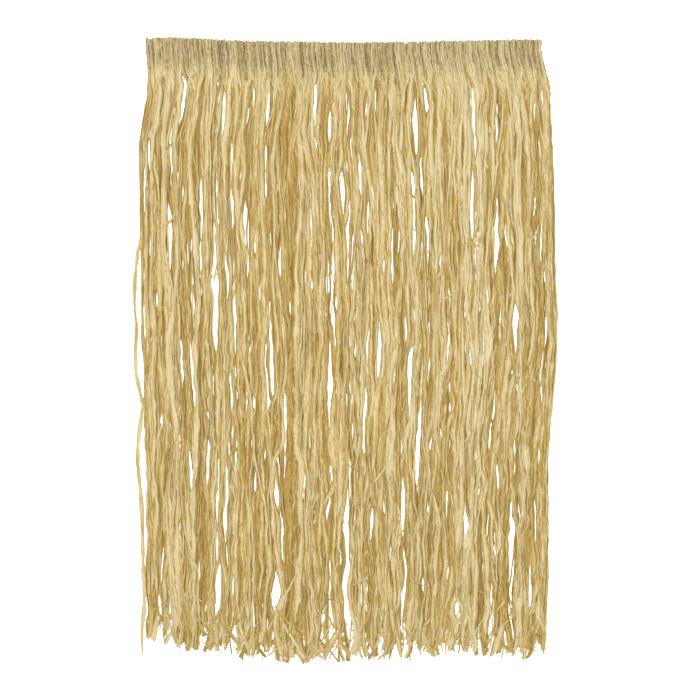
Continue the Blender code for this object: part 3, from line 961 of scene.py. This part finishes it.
# ---- operators
class GRASS_OT_waist(bpy.types.Operator):
    """Gathered raffia of the waist casing and of the stitched heading below it"""

    bl_idname = "grass_skirt.waist"
    bl_label = "Waist"

    def execute(self, context):
        finish = raffia("gathered_waist_raffia")
        layers = [grow(front_layer()), grow(back_layer())]
        upper, lower = stitched_rows()
        for name, node, stitches, start, stop in (
            ("casing", "waist_casing", "upper_stitches", 0, upper),
            ("stitched_heading", "heading", "lower_stitches", upper, lower),
        ):
            part = slice(start, stop + 1)
            points, *looks = [
                np.concatenate([values[:, part] for values in both])
                for both in zip(*(grass[:4] for grass in layers))
            ]
            mesh = ribbons_mesh(name, points, *looks)
            piece = add_piece(mesh, finish, (node,))
            flat_size(points)
        return {"FINISHED"}


class GRASS_OT_grass(bpy.types.Operator):
    """Raffia strands of the front and back, one piece for each hank"""

    bl_idname = "grass_skirt.grass"
    bl_label = "Grass"

    def execute(self, context):
        behind = [f"back_grass_{number + 1:02d}" for number in range(len(BACK_NODES))]
        loose = {
            "front_grass_01": ["stray_strand_upper_raffia", "stray_strand_lower_raffia"],
            "front_grass_09": ["split_slivers", "crossing_slivers"],
        }
        self.lay(back_layer(), "back", (), {})
        self.lay(front_layer(), "front", behind, loose)
        return {"FINISHED"}

    def lay(self, layer, side, rests_on, loose):
        """Lay one layer's strands as a piece for each hank. The loose pieces it is given are not used."""
        grass = grow(layer)
        finish = raffia(f"{side}_grass_raffia")
        start = stitched_rows()[1]
        spans = hank_spans(layer.nodes)
        bounds = np.concatenate(([-1.0], (spans[1:, 0] + spans[:-1, 1]) / 2.0, [1.0]))
        for number, node in enumerate(layer.nodes):
            inside = (grass.waist_x >= bounds[number]) & (grass.waist_x < bounds[number + 1])
            points, *looks = [values[inside, start:] for values in grass[:4]]
            name = f"{side}_grass_{number + 1:02d}"
            mesh = ribbons_mesh(name, points, *looks)
            piece = add_piece(mesh, finish, (node,))
            flat_size(points)


class GRASS_OT_loose(bpy.types.Operator):
    """Two stray strands beside the skirt, slivers split off the strands, and ones lying across"""

    bl_idname = "grass_skirt.loose"
    bl_label = "Loose Raffia"

    def execute(self, context):
        finish = raffia("loose_raffia")
        for node, seed, foot_in in (
            ("stray_strand_upper", 90, 9.0 * MM),
            ("stray_strand_lower", 91, 0.0),
        ):
            mesh = ribbons_mesh(f"{node}_raffia", *self.stray_strand(node, seed, foot_in))
            add_piece(mesh, finish, (node,))
        split = ribbons_mesh("split_slivers", *self.split_slivers())
        add_piece(split, finish)
        crossing = ribbons_mesh("crossing_slivers", *self.crossing_slivers())
        add_piece(crossing, finish)
        return {"FINISHED"}

    def stray_strand(self, node, seed, foot_in):
        """A strand along its CAD solid, with its top led in under the skirt's edge, and its foot
        led on down and in by foot_in."""
        route = middle_line(node, 14)
        top = route[:1] + np.array((9.0 * MM, 34.0 * MM, 0.0))
        foot = route[-1:] + np.array((foot_in, -20.0 * MM, 0.0))
        route = np.concatenate((top, route, foot))
        centre = along_route(route, 60)[None]
        centre[..., 0] += 0.20 * MM * jitter(np.random.default_rng(seed), centre.shape[1])
        flat = np.array([4.4 * MM])
        tone = np.array([0.66])
        return loose_ribbons(seed, centre, flat, tone, tip=0.08, point_top=False)

    def split_slivers(self):
        """Slivers split off the strands all over the skirt, half of them near the hem."""
        centre, flat, tone = wisps(seed=47, count=320, stations=9, low_end=3.0 * MM)
        return loose_ribbons(47, centre, flat, tone, tip=0.45, point_top=True)

    def crossing_slivers(self):
        """The slivers listed in CROSSINGS, on top of the strands."""
        rng = np.random.default_rng(53)
        x, y, end_x, end_y, wide = np.array(CROSSINGS).T / 1000.0
        start = np.stack((x, y), axis=-1)[:, None]
        end = np.stack((end_x, end_y), axis=-1)[:, None]
        path = start + (end - start) * np.linspace(0.0, 1.0, 9)[:, None]
        path = path + 0.6 * MM * jitter(rng, *path.shape)
        height = np.broadcast_to(CROSSING_HEIGHT, path.shape[:2])
        centre = np.concatenate((path, height[..., None]), axis=-1)
        tone = rng.uniform(0.6, 0.95, len(x))
        return loose_ribbons(53, centre, wide, tone, tip=0.45, point_top=True)


class GRASS_OT_stitching(bpy.types.Operator):
    """Two rows of thread stitches round the waist"""

    bl_idname = "grass_skirt.stitching"
    bl_label = "Stitching"

    def execute(self, context):
        finish = twisted_thread("sewing_thread")
        pitch = sizes().stitch_length
        for name, row in (("upper_stitches", UPPER_ROW), ("lower_stitches", LOWER_ROW)):
            paths = [stitch_paths(row, sign, pitch, 0.32 * pitch) for sign in (1, -1)]
            made = thread_tubes(np.concatenate(paths), 61)
            add_piece(ribbons_mesh(name, *made), finish)
        return {"FINISHED"}


FLOOR_REACH = 20.0         # from the middle to a side, far enough to have no edge in view
WHITE = (1.0, 1.0, 1.0, 1.0)
VIEW_WIDTH = 0.797         # the width that the camera sees at the height of the skirt's face
VIEW_MIDDLE = (5.6 * MM, 0.2 * MM)
FACE = 6.0 * MM            # the height of that face


class GRASS_OT_stage(bpy.types.Operator):
    """Pale floor, soft light from above and the camera"""

    bl_idname = "grass_skirt.stage"
    bl_label = "Stage"

    def execute(self, context):
        floor = bpy.data.meshes.new("floor")
        corners = [(FLOOR_REACH * x, FLOOR_REACH * y, 0.0) for x, y in ((-1, -1), (1, -1), (1, 1), (-1, 1))]
        floor.from_pydata(corners, [], [(0, 1, 2, 3)])
        paint = Paint("pale_floor")
        paint.surface({
            "Base Color": rgba(colours().floor),
            "Roughness": 0.9,
            "Emission Color": WHITE,
            "Emission Strength": 0.5,
            "Specular IOR Level": 0.1,
        })
        floor.materials.append(paint.material)
        stage = bpy.data.objects.new("floor", floor)
        context.scene.collection.objects.link(stage)

        world = bpy.data.worlds.new("soft_room")
        world.use_nodes = True
        background = world.node_tree.nodes["Background"]
        background.inputs["Color"].default_value = WHITE
        background.inputs["Strength"].default_value = 0.34
        context.scene.world = world
        self.add_light(context, "overhead_softbox", (-0.05, 0.10, 2.6), 0.5, 72.0)
        self.add_light(context, "left_softbox", (-1.3, 0.9, 1.9), 0.9, 12.0)

        camera = bpy.data.cameras.new("camera")
        camera.lens = 100.0
        camera.sensor_width = 36.0
        camera.clip_start = 0.01
        view = bpy.data.objects.new("camera", camera)
        view.location = (*VIEW_MIDDLE, VIEW_WIDTH * camera.lens / camera.sensor_width + FACE)
        context.scene.collection.objects.link(view)
        context.scene.camera = view
        context.scene.view_settings.view_transform = "Standard"
        context.scene.view_settings.look = "None"
        return {"FINISHED"}

    def add_light(self, context, name, place, size, power):
        """A square softbox of a size in metres and a power in watts, facing the skirt."""
        light = bpy.data.lights.new(name, "AREA")
        light.size = size
        light.energy = power
        lamp = bpy.data.objects.new(name, light)
        lamp.location = place
        direction = -lamp.location
        lamp.rotation_euler = direction.to_track_quat("-Z", "Y").to_euler()
        context.scene.collection.objects.link(lamp)


class GRASS_PT_skirt(bpy.types.Panel):
    """Sizes, colours and makers of the grass skirt"""

    bl_label = "Grass Skirt"
    bl_space_type = "VIEW_3D"
    bl_region_type = "UI"
    bl_category = "Grass Skirt"

    def draw(self, context):
        for group in (sizes(), colours()):
            for name in group.__annotations__:
                self.layout.prop(group, name)
        for operator in OPERATORS:
            self.layout.operator(operator.bl_idname)


OPERATORS = (GRASS_OT_stage, GRASS_OT_stitching, GRASS_OT_loose, GRASS_OT_waist, GRASS_OT_grass)
CLASSES = (GrassSkirtSizes, GrassSkirtColours, *OPERATORS, GRASS_PT_skirt)


def register():
    """Make the classes and their settings known to Blender."""
    for made in CLASSES:
        bpy.utils.register_class(made)
    bpy.types.Scene.grass_skirt_sizes = PointerProperty(type=GrassSkirtSizes)
    bpy.types.Scene.grass_skirt_colours = PointerProperty(type=GrassSkirtColours)


def unregister():
    """Undo register()."""
    del bpy.types.Scene.grass_skirt_colours
    del bpy.types.Scene.grass_skirt_sizes
    for made in reversed(CLASSES):
        bpy.utils.unregister_class(made)


def main():
    """Make the stage and the skirt."""
    register()
    bpy.ops.grass_skirt.stage()
    bpy.ops.grass_skirt.stitching()
    bpy.ops.grass_skirt.loose()
    bpy.ops.grass_skirt.waist()
    bpy.ops.grass_skirt.grass()


if __name__ == "__main__":
    main()
